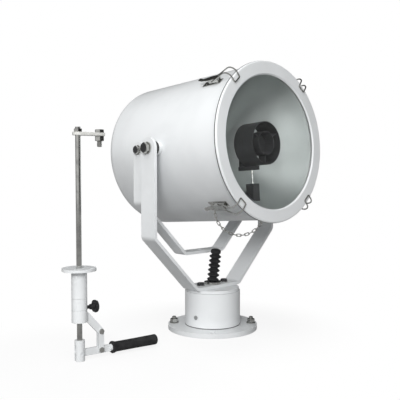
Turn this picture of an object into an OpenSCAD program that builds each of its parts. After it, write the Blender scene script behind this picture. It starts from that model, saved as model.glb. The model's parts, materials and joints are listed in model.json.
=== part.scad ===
// Marine searchlight on a deck pedestal, with its hand control standing beside it.
// The lamp faces -Y, the trunnions lie along X, and the origin is under the deck flange.

/* [Pedestal] */
// How far the deck flange stands out from the tube
flange_w = 46; // [40:1:60]
// Thickness of the deck flange
flange_t = 12; // [8:0.5:16]
// Distance of the deck bolts from the flange's edge
flange_bolt_edge = 16; // [13:0.5:22]
// Radius of a deck bolt hole
flange_hole_r = 6.75; // [5.5:0.25:7]
// How far the flange reaches inwards from the tube's outer face
flange_ledge = 15; // [8:1:25]
// Outer radius of the pedestal tube
tube_r = 75; // [72:1:78]
// Wall of the pedestal tube
tube_wall = 5; // [3:0.5:8]
// Height of the tube's upper edge
tube_top = 104; // [95:1:130]
// Thickness of the plate that closes the tube
bearing_plate_t = 8; // [5:1:12]

/* [Turntable] */
// How far the turntable stands inside the tube's outer face
turntable_step = 3; // [0:0.5:8]
// Thickness of the turntable
turntable_t = 8; // [6:0.5:12]
// Outer radius of the hollow pan spindle
spindle_r = 20; // [16:0.5:24]
// Radius of the control rod's way through the spindle
spindle_bore_r = 7; // [6.5:0.25:9]
// Length of the pan bush
bush_len = 30; // [20:1:34]

/* [Yoke] */
// Height of the tilt axis
tilt_z = 484; // [470:1:520]
// Gap between the drum and the yoke on each side
yoke_side_gap = 26.5; // [20:0.5:40]
// Width of the yoke bar
yoke_w = 52; // [44:1:56]
// Thickness of the yoke bar
yoke_t = 8; // [6:0.5:8]
// Half the length of the yoke's flat base, between the bends
yoke_half_base = 81; // [74:1:95]
// Inner bend radius of the yoke bar
yoke_bend_r = 10; // [5:1:20]
// Distance of the base bolts from the pan axis
yoke_bolt_x = 45; // [38:1:56]

/* [Bail] */
// Distance of the bail pivots behind the tilt axis
bail_arm = 50; // [46:1:60]
// Gap between the bail and the yoke on each side
bail_side_gap = 3; // [1.5:0.5:6]
// Width of the bail bar
bail_w = 40; // [32:1:44]
// Thickness of the bail bar
bail_t = 8; // [5:0.5:9]
// Half the length of the bail's flat bottom, between the bends
bail_half_base = 73; // [60:1:90]
// Height of the bail's underside
bail_z = 201.5; // [185:0.5:215]
// Radius of the hole for the drive bolt
bail_hole_r = 6.5; // [6:0.25:9]

/* [Drum] */
// Radius of the drum
drum_r = 192.5; // [186:0.5:196]
// Wall of the drum
drum_wall = 2.5; // [1.5:0.5:4]
// Length of the drum in front of the tilt axis
drum_front = 201.7; // [190:0.1:215]
// Length of the drum behind the tilt axis
drum_back = 217; // [190:1:230]
// Radius of the drum's rounded back edge
drum_edge_r = 26; // [12:1:50]
// Height of the pressed dome of the back
drum_dome = 9; // [3:1:20]
// Width of the rim flange at the drum's mouth
rim_w = 5.5; // [3:0.5:6]
// How far the drum points upwards at rest, degrees
rest_tilt = 4; // [0:0.5:8]

/* [Front ring] */
// How far the front ring stands out from the drum
ring_over = 7.5; // [6:0.5:12]
// How far the ring's opening is smaller than the drum, in radius
opening_inset = 26.5; // [24:0.5:40]
// Depth of the front ring
ring_depth = 8; // [7:0.5:14]
// Thickness of the ring's face
ring_face_t = 4; // [3:0.5:5]
// Rounding of the ring's front edge
ring_edge_r = 4; // [1:0.5:5]
// Thickness of the front glass
glass_t = 6; // [4:0.5:7]

/* [Latches] */
// Angle of each latch from the vertical, degrees
latch_spread = 41; // [30:1:50]
// Width of the latch lever
latch_w = 18; // [14:1:22]
// Length of the latch lever
latch_len = 58; // [45:1:70]
// Distance from the ring's face back to the lever's pin
latch_reach = 52; // [46:1:60]
// Radius of the spring wire
wire_r = 1.75; // [1.25:0.25:2.25]
// Radius of the bow that takes the wire over the ring
wire_bow_r = 16; // [12:1:20]
// Rise of the wire towards the bow, degrees
wire_rise = 18; // [14:1:24]
// How far the hook reaches over the ring's face
hook_reach = 13; // [8:1:16]

/* [Lamp] */
// Outer radius of the glare shield
shield_r = 54; // [46:1:60]
// Distance from the ring's face to the shield's mouth
shield_inset = 23; // [15:1:35]
// Radius of the cup in front of the bulb
cup_r = 30; // [24:1:36]
// Number of spokes that hold the cup
spokes = 3; // [2:1:6]
// Focal length of the reflector as a share of its radius
focal_share = 0.315; // [0.29:0.005:0.36]
// Side of the square lamp stand
stand_w = 24; // [18:1:30]
// Radius of the bulb
bulb_r = 22; // [16:1:24]

/* [Boot] */
// Outer radius of the boot's folds
boot_r = 16; // [13:0.5:19]
// Height of the boot
boot_h = 96; // [80:1:104]
// Number of folds
boot_folds = 6; // [5:1:9]
// Lean of the free-standing boot, degrees
boot_lean = 6; // [0:0.5:8]

/* [Hand control] */
// Place of the control rod along X
control_x = -430; // [-520:5:-420]
// Place of the control rod along Y
control_y = -5; // [-60:5:60]
// Turn of the lever's plane about the rod, degrees
control_yaw = -8; // [-30:1:30]
// Radius of the control rod
rod_r = 6; // [5:0.25:6]
// Height of the drive arm's underside
drive_z = 506.5; // [400:0.5:560]
// Distance of the drive bolt from the rod
drive_offset = 53; // [40:1:60]
// Radius of the ceiling flange
ceiling_r = 38.5; // [36:0.5:46]
// Height of the ceiling flange's upper face
ceiling_z = 210; // [205:1:230]
// Thickness of the ceiling flange
ceiling_t = 6; // [4:0.5:9]
// Pitch circle diameter of the ceiling flange's screws
ceiling_pcd = 58; // [54:1:62]
// Radius of the guide sleeve and the swivel collar
sleeve_r = 17.5; // [16:0.5:20]
// Height of the seam between the sleeve and the collar
seam_z = 142; // [138:1:150]
// Height of the collar's lower end
collar_z = 88; // [82:1:95]
// Distance of the link's pivots from the rod
pivot_x = 51.5; // [48:0.5:60]
// Height of the lever's axis
lever_z = 17; // [16:0.5:22]
// Height of the link's upper pivot
link_z = 60; // [54:1:66]
// Radius of the grip
grip_r = 12.5; // [11:0.5:14]
// Length of the grip
grip_len = 122; // [100:1:130]
// Radius of the clamp knob
knob_r = 14.5; // [12:0.5:18]

/* [Clearances] */
// Radial clearance of a turning or sliding fit
run_clear = 0.05; // [0.02:0.01:0.1]
// Gap between faces that move past each other
face_gap = 0.3; // [0.2:0.1:1]
// Gap where a fixed piece seats on a round one
seat_gap = 0.05; // [0.02:0.01:0.1]

/* [Hidden] */
$fn = 72;
cut = 1;

paint = [0.88, 0.89, 0.9];
steel = [0.72, 0.73, 0.75];
dark_steel = [0.25, 0.25, 0.27];
black = [0.08, 0.08, 0.09];
bronze = [0.62, 0.48, 0.28];

// Fasteners: thread radius, width across flats, head height, washer radius and thickness
m6 = [3, 10, 4, 6, 1.6];
m10 = [5, 17, 6.4, 10, 2];
m12 = [6, 19, 7.5, 12, 2.5];
m16 = [8, 24, 10, 15, 3];

// Deck flange and turntable, from the tube
flange_r = tube_r + flange_w;
flange_pcd = 2 * (flange_r - flange_bolt_edge);
flange_bore_r = tube_r - flange_ledge;
turntable_r = tube_r - turntable_step;

// Heights up the pan axis
bush_flange_t = 3.2;
bush_flange_w = 20;
bush_hub_w = 8;
bush_flange_r = spindle_r + bush_flange_w;
bearing_plate_top = tube_top - bush_flange_t + face_gap / 2;
bush_top = bearing_plate_top + bush_flange_t;
turntable_z = bush_top + face_gap;
yoke_z = turntable_z + turntable_t;
deck_z = yoke_z + yoke_t;
bush_wall = 5;
bush_low = bush_top - bush_len;
spindle_nut_h = 10;
spindle_tail = 6;
spindle_low = bush_low - face_gap - spindle_nut_h - spindle_tail;

// Tilt axis, along X
yoke_in = drum_r + yoke_side_gap;
yoke_half_span = yoke_in + yoke_t;
bail_half_span = yoke_in - bail_side_gap;
bail_in = bail_half_span - bail_t;
bail_pivot_y = bail_arm * cos(rest_tilt);
bail_pivot_z = tilt_z - bail_arm * sin(rest_tilt);
trunnion_spacer_r = 17;
bail_spacer_r = 12;

// Drum mouth, measured forwards along the drum's axis
ring_r = drum_r + ring_over;
opening_r = drum_r - opening_inset;
ring_back = drum_front + face_gap;
ring_front = ring_back + ring_depth;
ring_face_back = ring_front - ring_face_t;
ring_seam_w = 1.5;
ring_seam_depth = 2;
lip_t = 2.5;
lip_front = drum_front - 6.2;
lip_back = lip_front - lip_t;
lip_r = opening_r + 10;
gasket_in = opening_r + 4;
gasket_out = opening_r + 22;
glass_r = opening_r + 14;
gasket_len = ring_face_back - lip_front;
glass_back = lip_front + (gasket_len - glass_t) / 2;

// Reflector, a paraboloid whose rim seats behind the drum's lip
reflector_t = 1.5;
reflector_rim_w = 10;
reflector_r = lip_r - 2;
focal = focal_share * reflector_r;
focus_f = lip_back - reflector_r * reflector_r / (4 * focal) + focal;
function reflector_f(r) = lip_back - (reflector_r * reflector_r - r * r) / (4 * focal);

// Lamp, measured forwards along the drum's axis
socket_r = 14;
socket_gap = 2;
socket_f = focus_f;
socket_h = 28;
shield_front = ring_front - shield_inset;
shield_back = socket_f + socket_r + socket_gap;
shield_len = shield_front - shield_back;
shield_wall = 1.5;
cup_len = 32;
spoke_t = 2;
rod_set = 8;
rod_f = shield_back + rod_set;
focus_rod_r = 3;
focus_rod_in = 40;
carriage_t = 10;
carriage_w = 18;
carriage_nose = 18;
carriage_top = -shield_r - seat_gap;
stand_top = -99;
stand_low = -sqrt(pow(drum_r - drum_wall, 2) - pow(stand_w / 2, 2)) + seat_gap;

// Latches: radius and forward place of the lever pin and of the wire's end
pin_r = 1.5;
pin_radius = drum_r + 9;
pin_f = ring_front - latch_reach;
wire_end_back = 14;
wire_end_drop = 1;
wire_radius = pin_radius - wire_end_drop;
wire_f = pin_f - wire_end_back;
latch_sheet = 1.5;
latch_plate_t = 2;
lever_top = 3.6;
cheek_drop = 4;
cheek_len = 24;
cheek_nose = 3;
wire_side_gap = 0.75;
wire_y = latch_w / 2 + wire_side_gap + wire_r;
wire_corner_r = 3;
hook_corner_r = 3.5;
hook_gap = 0.6;
hook_f = ring_front + hook_gap + wire_r;
hook_radius = ring_r - hook_reach;
latch_angles = [90 - latch_spread, 90 + latch_spread, 270 - latch_spread, 270 + latch_spread];

// Safety chain: angle round the drum and forward place of each end's staple
chain_start = [234, 112];
chain_end = [254, 206];
chain_sweep = 150;
chain_wire_r = 1.1;
chain_inner_w = 3.4;
chain_slack = 0.15;
chain_links = 16;
staple_rise = 5;
staple_w = 8;
staple_corner_r = 2;

// Hand control, measured from the rod's axis
spigot_r = 12;
spigot_len = 20;
collar_top = seam_z - face_gap;
sleeve_bore_r = rod_r + 1;
knob_z = 119;
knob_x = sleeve_r + 8;
knob_hub_r = 7.5;
knob_hub_t = 9.5;
knob_t = 9;
knob_lobes = 6;
knob_hollow_r = 6.5;
knob_hollow_depth = 2.6;
knob_stem_r = 4;
arm_t = 6;
arm_in = 3;
arm_low = 2;
arm_high = 18;
arm_step = 5;
arm_half = [5, 6];
link_t = 3;
link_w = 13;
link_gap = face_gap;
link_pin_r = 4;
lever_h = 16;
lever_tail = 10.5;
clevis_r = 11.5;
clevis_h = 47;
clevis_slot_h = 36;
clevis_pin_r = 3;
lever_slot = 5.2;
lever_slot_clear = 0.8;
grip_x = 79.5;
grip_collar = 1.5;
grip_collar_t = 4;
grip_waist = 0.6;
grip_end_r = 4;
lever_rod_r = 8;
lever_neck = 4;
grip_plug = 8;
drive_arm_t = 7;
drive_arm_w = 25;
drive_nut_h = 11.5;
drive_bolt_low = 25;

// Details of the pedestal and the deck studs
tube_seam = 1.4;
tube_screw_z = flange_t + 28;
tube_screw_turn = -81;
stud_places = [0, 1, 3];
stud_way_r = flange_hole_r - 0.35;
deck_nut_h = 10;

// Details of the boot
boot_wall = 2;
boot_cuff_r = boot_r + 4;
boot_cuff_h = 5;
boot_clamp_t = 3;
boot_valley = 6;
boot_crown_step = 2;
boot_crown_r = boot_r - boot_crown_step - rod_r;
boot_azimuth = -44;

// Details of the drum's fittings
bolt_inside = 24;
gland_f = -150;
gland_r = 9;
gland_seat_r = 15;
gland_bore_r = 4;
gland_seat_t = 2;
gland_flats = 24;
gland_hex_t = 7;
gland_cap_r = 11.5;
gland_cap_h = 14;
gland_turn = 35;
gland_inside = 6;

// How much a rod necks where it is bent, and how far its straights run into the bends
bend_neck = 0.01;
bend_lap = 0.1;

// Points of an arc about c
function arc(c, r, a0, a1, n = 10) =
    [for (i = [0:n]) let (a = a0 + (a1 - a0) * i / n) c + r * [cos(a), sin(a)]];

// Right half of a bent flat bar: flat base, slanted leg, upright arm
function bar_half(x1, z1, span, top, t, bend, a) =
    let (ro = bend + t,
        c1 = [x1 - ro * tan(a / 2), z1 + ro],
        run = (span - ro - c1[0]) / cos(a),
        c2 = c1 + run * [cos(a), sin(a)])
    concat(arc(c1, ro, -90, a - 90), arc(c2, ro, a - 90, 0), [[span, top], [span - t, top]],
        arc(c2, bend, 0, a - 90), arc(c1, bend, a - 90, -90));

// Flat bar bent into a U, with its arms ending round on an axis along X
module bent_bar(x1, z1, span, top, w, t, bend, hole_r) {
    half = bar_half(x1, z1, span, top, t, bend, 45);
    left = [for (i = [len(half) - 1:-1:0]) [-half[i][0], half[i][1]]];
    difference() {
        union() {
            rotate([90, 0, 0])
                linear_extrude(w, center = true)
                    polygon(concat(half, left));
            for (side = [0, 1])
                mirror([side, 0, 0])
                    translate([span - t, 0, top])
                        rotate([0, 90, 0])
                            cylinder(r = w / 2, h = t);
        }
        translate([-span - cut, 0, top])
            rotate([0, 90, 0])
                cylinder(r = hole_r, h = 2 * (span + cut));
    }
}

module hex(af, h) cylinder(r = af / 2 / cos(30), h = h, $fn = 6);

module tube(r_out, r_in, h) {
    difference() {
        cylinder(r = r_out, h = h);
        translate([0, 0, -cut])
            cylinder(r = r_in, h = h + 2 * cut);
    }
}

// Hexagon bolt with its head's seat at zero and its shank downwards
module bolt(size, shank) {
    hex(size[1], size[2]);
    translate([0, 0, -shank])
        cylinder(r = size[0], h = shank + seat_gap);
}

module washer(size, hole_r) tube(size[3], hole_r, size[4]);

module nut(size, h) {
    difference() {
        hex(size[1], h);
        translate([0, 0, -cut])
            cylinder(r = size[0] + seat_gap, h = h + 2 * cut);
    }
}

// Round rod bent step by step: straight length, bend radius, bend angle, turn before the bend
module bent_wire(r, steps, i = 0) {
    step = steps[i];
    last = len(steps) - 1;
    before = i > 0 ? bend_lap : 0;
    after = i < last ? bend_lap : 0;
    translate([0, 0, -before])
        cylinder(r = r, h = before + step[0] + after);
    if (i < last)
        translate([0, 0, step[0]])
            rotate([0, 0, step[3]]) {
                translate([step[1], 0, 0])
                    rotate([90, 0, 180])
                        rotate_extrude(angle = step[2])
                            translate([step[1], 0])
                                circle(r = r - bend_neck);
                translate([step[1] * (1 - cos(step[2])), 0, step[1] * sin(step[2])])
                    rotate([0, step[2], 0])
                        bent_wire(r, steps, i + 1);
            }
}

// Places of the four deck bolts
module at_deck_bolts(z, places = [0:3])
    for (i = places)
        rotate([0, 0, 45 + 90 * i])
            translate([flange_pcd / 2, 0, z])
                children();

// Frame of the drum: X across, Y up, Z forwards along the axis
module along_drum()
    translate([0, 0, tilt_z])
        rotate([90 - rest_tilt, 0, 0])
            children();

// Both ends of an axis across the drum, behind the tilt axis by back, X pointing outwards
module at_sides(back)
    for (side = [0, 1])
        along_drum()
            mirror([side, 0, 0])
                translate([0, 0, -back])
                    rotate([0, 90, 0])
                        children();

// Frame of one latch: X outwards, Y round the drum, Z forwards
module at_latch(i)
    along_drum()
        rotate([0, 0, latch_angles[i - 1]])
            children();

module at_control()
    translate([control_x, control_y, 0])
        rotate([0, 0, control_yaw])
            children();

// Cylinder across the lever's plane, centred on it
module across(r, h)
    rotate([90, 0, 0])
        cylinder(r = r, h = h, center = true);

// Deck flange with its bolt holes
module base_flange() color(paint)
    difference() {
        tube(flange_r, flange_bore_r, flange_t);
        at_deck_bolts(-cut)
            cylinder(r = flange_hole_r, h = flange_t + 2 * cut);
    }

// Pedestal tube with a seam at its foot
module pedestal_tube() color(paint) {
    inner = tube_r - tube_wall;
    difference() {
        translate([0, 0, flange_t])
            rotate_extrude()
                polygon([[inner, 0], [tube_r - tube_seam, 0], [tube_r - tube_seam, tube_seam],
                    [tube_r, tube_seam], [tube_r, tube_top - flange_t], [inner, tube_top - flange_t]]);
        translate([0, 0, tube_screw_z])
            rotate([90, 0, tube_screw_turn])
                cylinder(r = m6[0] + seat_gap, h = 2 * tube_r);
    }
}

// Screw through the tube that holds the bearing plate's skirt
module tube_screw() color(steel)
    translate([0, 0, tube_screw_z])
        rotate([90, 0, tube_screw_turn])
            translate([0, 0, tube_r - tube_wall - 2])
                cylinder(r = m6[0], h = tube_wall + 4);

// Plate that closes the tube and carries the pan bush
module bearing_plate() color(paint) {
    hub_r = spindle_r + bush_wall + bush_hub_w;
    translate([0, 0, bearing_plate_top])
        difference() {
            union() {
                translate([0, 0, -bearing_plate_t])
                    cylinder(r = tube_r - tube_wall - seat_gap, h = bearing_plate_t);
                translate([0, 0, bush_low - bearing_plate_top + 2])
                    cylinder(r = hub_r, h = bearing_plate_top - bush_low - 2 - bearing_plate_t + cut);
            }
            translate([0, 0, -bush_len - cut])
                cylinder(r = spindle_r + bush_wall + seat_gap, h = bush_len + 2 * cut);
        }
}

// Flanged bronze bush that the spindle turns in
module pan_bush() color(bronze)
    difference() {
        union() {
            translate([0, 0, bush_low])
                cylinder(r = spindle_r + bush_wall, h = bush_len);
            translate([0, 0, bearing_plate_top])
                cylinder(r = bush_flange_r, h = bush_flange_t);
        }
        translate([0, 0, bush_low - cut])
            cylinder(r = spindle_r + run_clear, h = bush_len + 2 * cut);
    }

// Washers and nuts of the deck studs, with the studs' way left open
module deck_washers() color(steel)
    at_deck_bolts(flange_t, stud_places)
        washer(m12, stud_way_r);

module deck_nuts() color(steel)
    at_deck_bolts(flange_t + m12[4], stud_places)
        difference() {
            hex(m12[1], deck_nut_h);
            translate([0, 0, -cut])
                cylinder(r = stud_way_r, h = deck_nut_h + 2 * cut);
        }

// Turntable that the yoke is bolted to
module turntable() color(paint)
    translate([0, 0, turntable_z])
        difference() {
            tube(turntable_r, spindle_r + seat_gap, turntable_t);
            for (side = [-1, 1])
                translate([side * yoke_bolt_x, 0, -cut])
                    cylinder(r = m10[0] + seat_gap, h = turntable_t + 2 * cut);
        }

// Hollow spindle welded into the turntable
module pan_spindle() color(steel)
    translate([0, 0, spindle_low])
        tube(spindle_r, spindle_bore_r, yoke_z - spindle_low);

// Ring nut that keeps the spindle in its bush
module spindle_nut() color(steel)
    translate([0, 0, spindle_low + spindle_tail])
        tube(spindle_r + 9, spindle_r + seat_gap, spindle_nut_h);

// Yoke bent from flat bar
module yoke() color(paint)
    difference() {
        bent_bar(yoke_half_base, yoke_z, yoke_half_span, tilt_z, yoke_w, yoke_t, yoke_bend_r,
            m16[0] + run_clear);
        translate([0, 0, yoke_z - cut])
            cylinder(r = spindle_bore_r + 2, h = yoke_t + 2 * cut);
        for (side = [-1, 1])
            translate([side * yoke_bolt_x, 0, yoke_z - cut])
                cylinder(r = m10[0] + 0.5, h = yoke_t + 2 * cut);
    }

// Bolts that hold the yoke on the turntable
module yoke_bolts() color(black)
    for (side = [-1, 1])
        translate([side * yoke_bolt_x, 0, deck_z])
            bolt(m10, yoke_t + turntable_t);

// Rubber boot of the control rod, leaning where it stands free
module boot() color(black) {
    steps = 6;
    neck_r = boot_r - boot_valley;
    low = boot_cuff_h - 2;
    crown_z = boot_h - boot_cuff_h / 2 - boot_crown_r;
    crown_turn = acos((neck_r - rod_r) / boot_crown_r);
    crown_low = crown_z - boot_crown_r * sin(crown_turn);
    fold = (crown_low - low) / boot_folds;
    folds = [for (i = [0:boot_folds * steps])
        [boot_r - boot_valley * (1 + cos(360 * i / steps)) / 2, low + i * fold / steps]];
    outer = concat([[neck_r, 0]], folds);
    crown = arc([rod_r, crown_z], boot_crown_r, 10 - crown_turn, 90, 9);
    inner = [for (i = [len(outer) - 1:-1:0]) [outer[i][0] - boot_wall, outer[i][1]]];
    translate([0, 0, deck_z]) {
        tube(boot_cuff_r, neck_r - boot_wall - 1, boot_cuff_h);
        difference() {
            translate([0, 0, boot_cuff_h / 2])
                rotate([0, 0, boot_azimuth])
                    rotate([0, boot_lean, 0])
                        rotate_extrude()
                            polygon(concat(outer, crown, [[rod_r, crown_low]], inner));
            translate([0, 0, -2 * boot_cuff_h])
                cylinder(r = 2 * boot_r, h = 2 * boot_cuff_h);
        }
    }
}

// Ring that clamps the boot's cuff
module boot_clamp() color(steel)
    translate([0, 0, deck_z])
        tube(boot_cuff_r + boot_clamp_t, boot_cuff_r + seat_gap, boot_cuff_h + 1);

// Spun drum with a rim flange, an inner lip and a pressed back
module drum_shell() color(paint) {
    edge = [drum_r - drum_edge_r, drum_edge_r - drum_back];
    dome_r = (pow(edge[0], 2) + pow(drum_dome, 2)) / (2 * drum_dome);
    dome_c = dome_r - drum_back - drum_dome;
    sweep = asin(edge[0] / dome_r);
    back = arc([0, dome_c], dome_r, -90, sweep - 90);
    back_edge = arc(edge, drum_edge_r, -90, 0);
    inner_edge = arc(edge, drum_edge_r - drum_wall, 0, -90);
    inner_back = arc([0, dome_c], dome_r - drum_wall, sweep - 90, -90);
    in_r = drum_r - drum_wall;
    mouth = [[drum_r, drum_front - lip_t], [drum_r + rim_w, drum_front - lip_t], [drum_r + rim_w, drum_front],
        [in_r, drum_front], [in_r, lip_front], [lip_r, lip_front], [lip_r, lip_back], [in_r, lip_back]];
    difference() {
        along_drum()
            rotate_extrude()
                polygon(concat(back, [for (i = [1:len(back_edge) - 1]) back_edge[i]], mouth, inner_edge,
                    [for (i = [1:len(inner_back) - 1]) inner_back[i]]));
        at_sides(0)
            cylinder(r = m16[0] + 0.5, h = drum_r + cut);
        at_sides(bail_arm)
            cylinder(r = m12[0] + 0.5, h = drum_r + cut);
        along_drum()
            translate([0, 0, gland_f])
                rotate([90, 0, gland_turn])
                    cylinder(r = gland_r + seat_gap, h = drum_r + cut);
    }
}

// Black spacers between the drum and the yoke, saddled to the drum
module side_spacers(back, r, hole_r, outer_x)
    difference() {
        at_sides(back)
            translate([0, 0, drum_r - r])
                tube(r, hole_r, outer_x - drum_r + r);
        along_drum()
            translate([0, 0, -drum_back])
                cylinder(r = drum_r + seat_gap, h = drum_back + drum_front);
    }

module trunnion_spacers() color(black)
    side_spacers(0, trunnion_spacer_r, m16[0] + seat_gap, yoke_in - face_gap);

module bail_spacers() color(black)
    side_spacers(bail_arm, bail_spacer_r, m12[0] + seat_gap, bail_in - face_gap);

// Trunnion bolts, fixed in the drum and turning in the yoke
module trunnion_bolts() color(steel)
    at_sides(0)
        translate([0, 0, yoke_half_span + face_gap + m16[4]])
            bolt(m16, yoke_half_span + face_gap + m16[4] - drum_r + bolt_inside);

// Bolts that the bail swings on
module bail_bolts() color(steel)
    at_sides(bail_arm)
        translate([0, 0, bail_half_span + face_gap + m12[4]])
            bolt(m12, bail_half_span + face_gap + m12[4] - drum_r + bolt_inside);

// Washers under the heads of the side bolts
module side_washers() color(steel) {
    at_sides(0)
        translate([0, 0, yoke_half_span + face_gap])
            washer(m16, m16[0] + seat_gap);
    at_sides(bail_arm)
        translate([0, 0, bail_half_span + face_gap])
            washer(m12, m12[0] + seat_gap);
}

// Nuts and washers inside the drum
module inner_nuts() color(steel) {
    for (set = [[0, m16], [bail_arm, m12]]) {
        seat = sqrt(pow(drum_r - drum_wall, 2) - pow(set[1][3], 2)) - seat_gap;
        at_sides(set[0])
            translate([0, 0, seat - set[1][4]]) {
                washer(set[1], set[1][0] + seat_gap);
                translate([0, 0, -set[1][2]])
                    nut(set[1], set[1][2]);
            }
    }
}

// Cable gland under the back of the drum
module cable_gland() color(dark_steel) {
    inside = drum_r - drum_wall - gland_inside;
    hex_at = drum_r + gland_seat_t;
    cap_at = hex_at + gland_hex_t;
    along_drum()
        translate([0, 0, gland_f])
            rotate([90, 0, gland_turn])
                difference() {
                    union() {
                        translate([0, 0, inside])
                            cylinder(r = gland_r, h = hex_at + cut - inside);
                        translate([0, 0, drum_r + seat_gap])
                            cylinder(r = gland_seat_r, h = gland_seat_t);
                        translate([0, 0, hex_at])
                            hex(gland_flats, gland_hex_t + seat_gap);
                        translate([0, 0, cap_at])
                            cylinder(r1 = gland_cap_r, r2 = gland_cap_r - 2, h = gland_cap_h);
                    }
                    translate([0, 0, inside - cut])
                        cylinder(r = gland_bore_r, h = cap_at + gland_cap_h + 2 * cut - inside);
                }
}

// Parabolic mirror with a way through for the lamp stand
module reflector() color(steel) {
    rim = reflector_r + reflector_rim_w;
    steps = 24;
    face = [for (i = [0:steps]) let (r = reflector_r * i / steps) [r, reflector_f(r)]];
    way = stand_w + 6;
    along_drum()
        difference() {
            rotate_extrude()
                polygon(concat(face, [[rim, lip_back], [rim, lip_back - reflector_t]],
                    [for (i = [steps:-1:0]) [face[i][0], face[i][1] - reflector_t]]));
            translate([-way / 2, -drum_r, rod_f - way / 2])
                cube([way, drum_r + stand_top, way]);
        }
}

// Post inside the drum that the lamp stands on
module lamp_stand() color(black)
    along_drum()
        difference() {
            translate([-stand_w / 2, stand_low, rod_f - stand_w / 2])
                cube([stand_w, stand_top - stand_low, stand_w]);
            translate([0, stand_top + cut, rod_f])
                rotate([90, 0, 0])
                    cylinder(r = focus_rod_r + seat_gap, h = focus_rod_in + cut);
        }

// Bright rod that sets the lamp's height
module focus_rod() color(steel)
    along_drum()
        translate([0, carriage_top, rod_f])
            rotate([90, 0, 0])
                cylinder(r = focus_rod_r, h = carriage_top - stand_top + focus_rod_in - seat_gap);

// Carriage that joins the rod, the socket and the shield
module lamp_carriage() color(black)
    along_drum()
        difference() {
            translate([-carriage_w / 2, carriage_top - carriage_t, socket_f - socket_r])
                cube([carriage_w, carriage_t, rod_f - socket_f + socket_r + carriage_nose]);
            translate([0, carriage_top + cut, rod_f])
                rotate([90, 0, 0])
                    cylinder(r = focus_rod_r + seat_gap, h = carriage_t + 2 * cut);
        }

// Moulded socket
module lamp_socket() color(black)
    along_drum()
        translate([0, carriage_top, socket_f])
            rotate([-90, 0, 0])
                difference() {
                    cylinder(r = socket_r, h = socket_h);
                    translate([0, 0, socket_h - 10])
                        cylinder(r = 9 + seat_gap, h = 10 + cut);
                }

// Bulb with its cap in the socket
module lamp_bulb() color([0.9, 0.9, 0.85, 0.5]) {
    cap_r = 9;
    neck = asin(cap_r / bulb_r);
    seat = carriage_top + socket_h - 10;
    along_drum()
        translate([0, 0, socket_f])
            rotate([-90, 0, 0])
                rotate_extrude()
                    polygon(concat([[0, seat + seat_gap], [cap_r, seat + seat_gap]],
                        arc([0, 0], bulb_r, neck - 90, 90, 16)));
}

// Glare shield: a tube, and a cup on spokes in its mouth
module glare_shield() color(black)
    along_drum() {
        translate([0, 0, shield_back])
            tube(shield_r, shield_r - shield_wall, shield_len);
        translate([0, 0, shield_front - cup_len])
            difference() {
                cylinder(r = cup_r, h = cup_len - 1);
                translate([0, 0, shield_wall])
                    cylinder(r = cup_r - shield_wall, h = cup_len);
            }
        for (i = [0:spokes - 1])
            rotate([0, 0, 30 + 360 * i / spokes])
                translate([cup_r - shield_wall / 2, -spoke_t / 2, shield_front - cup_len + 4])
                    cube([shield_r - cup_r - shield_wall / 2 + 0.3, spoke_t, cup_len - 10]);
    }

// Seal that grips the edge of the glass
module ring_gasket() color(black)
    along_drum()
        translate([0, 0, lip_front])
            difference() {
                tube(gasket_out, gasket_in, gasket_len);
                translate([0, 0, glass_back - lip_front])
                    cylinder(r = glass_r + seat_gap, h = glass_t);
            }

module front_glass() color([0.8, 0.88, 0.88, 0.4])
    along_drum()
        translate([0, 0, glass_back])
            cylinder(r = glass_r, h = glass_t);

// Front ring with a rounded edge, the seam of its face plate and a bevelled opening
module front_ring() color(paint) {
    bevel = ring_face_t - 1;
    edge = arc([ring_r - ring_edge_r, ring_front - ring_edge_r], ring_edge_r, 0, 90, 8);
    lap = ring_front - ring_edge_r - ring_seam_w;
    floor_r = ring_r - ring_seam_depth;
    groove = [[ring_r, lap - ring_seam_w], [floor_r, lap - ring_seam_w], [floor_r, lap], [ring_r, lap]];
    along_drum()
        rotate_extrude()
            polygon(concat([[gasket_out + 1, ring_back], [ring_r, ring_back]], groove, edge,
                [[opening_r + bevel, ring_front], [opening_r, ring_front - bevel], [opening_r, ring_face_back],
                    [gasket_out + 1, ring_face_back]]));
}

// Riveted base of each latch, with the ears of its lever
module latch_bases() color(steel)
    for (i = [1:4])
        at_latch(i) {
            front = pin_f + 8;
            foot = drum_r + seat_gap;
            ear_x = latch_w / 2 - latch_sheet - face_gap - 2;
            translate([foot, -latch_w / 2, pin_f - latch_len + 8])
                cube([latch_plate_t, latch_w, front - pin_f + latch_len - 8]);
            for (rivet = [-0.25, -0.7])
                translate([foot + latch_plate_t - seat_gap, 0, pin_f + rivet * latch_len])
                    rotate([0, 90, 0])
                        cylinder(r1 = 3, r2 = 2, h = 1.2);
            for (side = [0, 1])
                mirror([0, side, 0])
                    difference() {
                        union() {
                            translate([foot + latch_plate_t - seat_gap, ear_x, pin_f - 3])
                                cube([pin_radius - foot - latch_plate_t + seat_gap, 2, 6]);
                            translate([pin_radius, ear_x + 1, pin_f])
                                across(3, 2);
                        }
                        translate([pin_radius, ear_x + 1, pin_f])
                            across(pin_r + seat_gap, 2 + 2 * cut);
                    }
        }

module latch_pins() color(steel)
    for (i = [1:4])
        at_latch(i)
            translate([pin_radius, 0, pin_f])
                across(pin_r, latch_w + 0.6);

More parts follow.
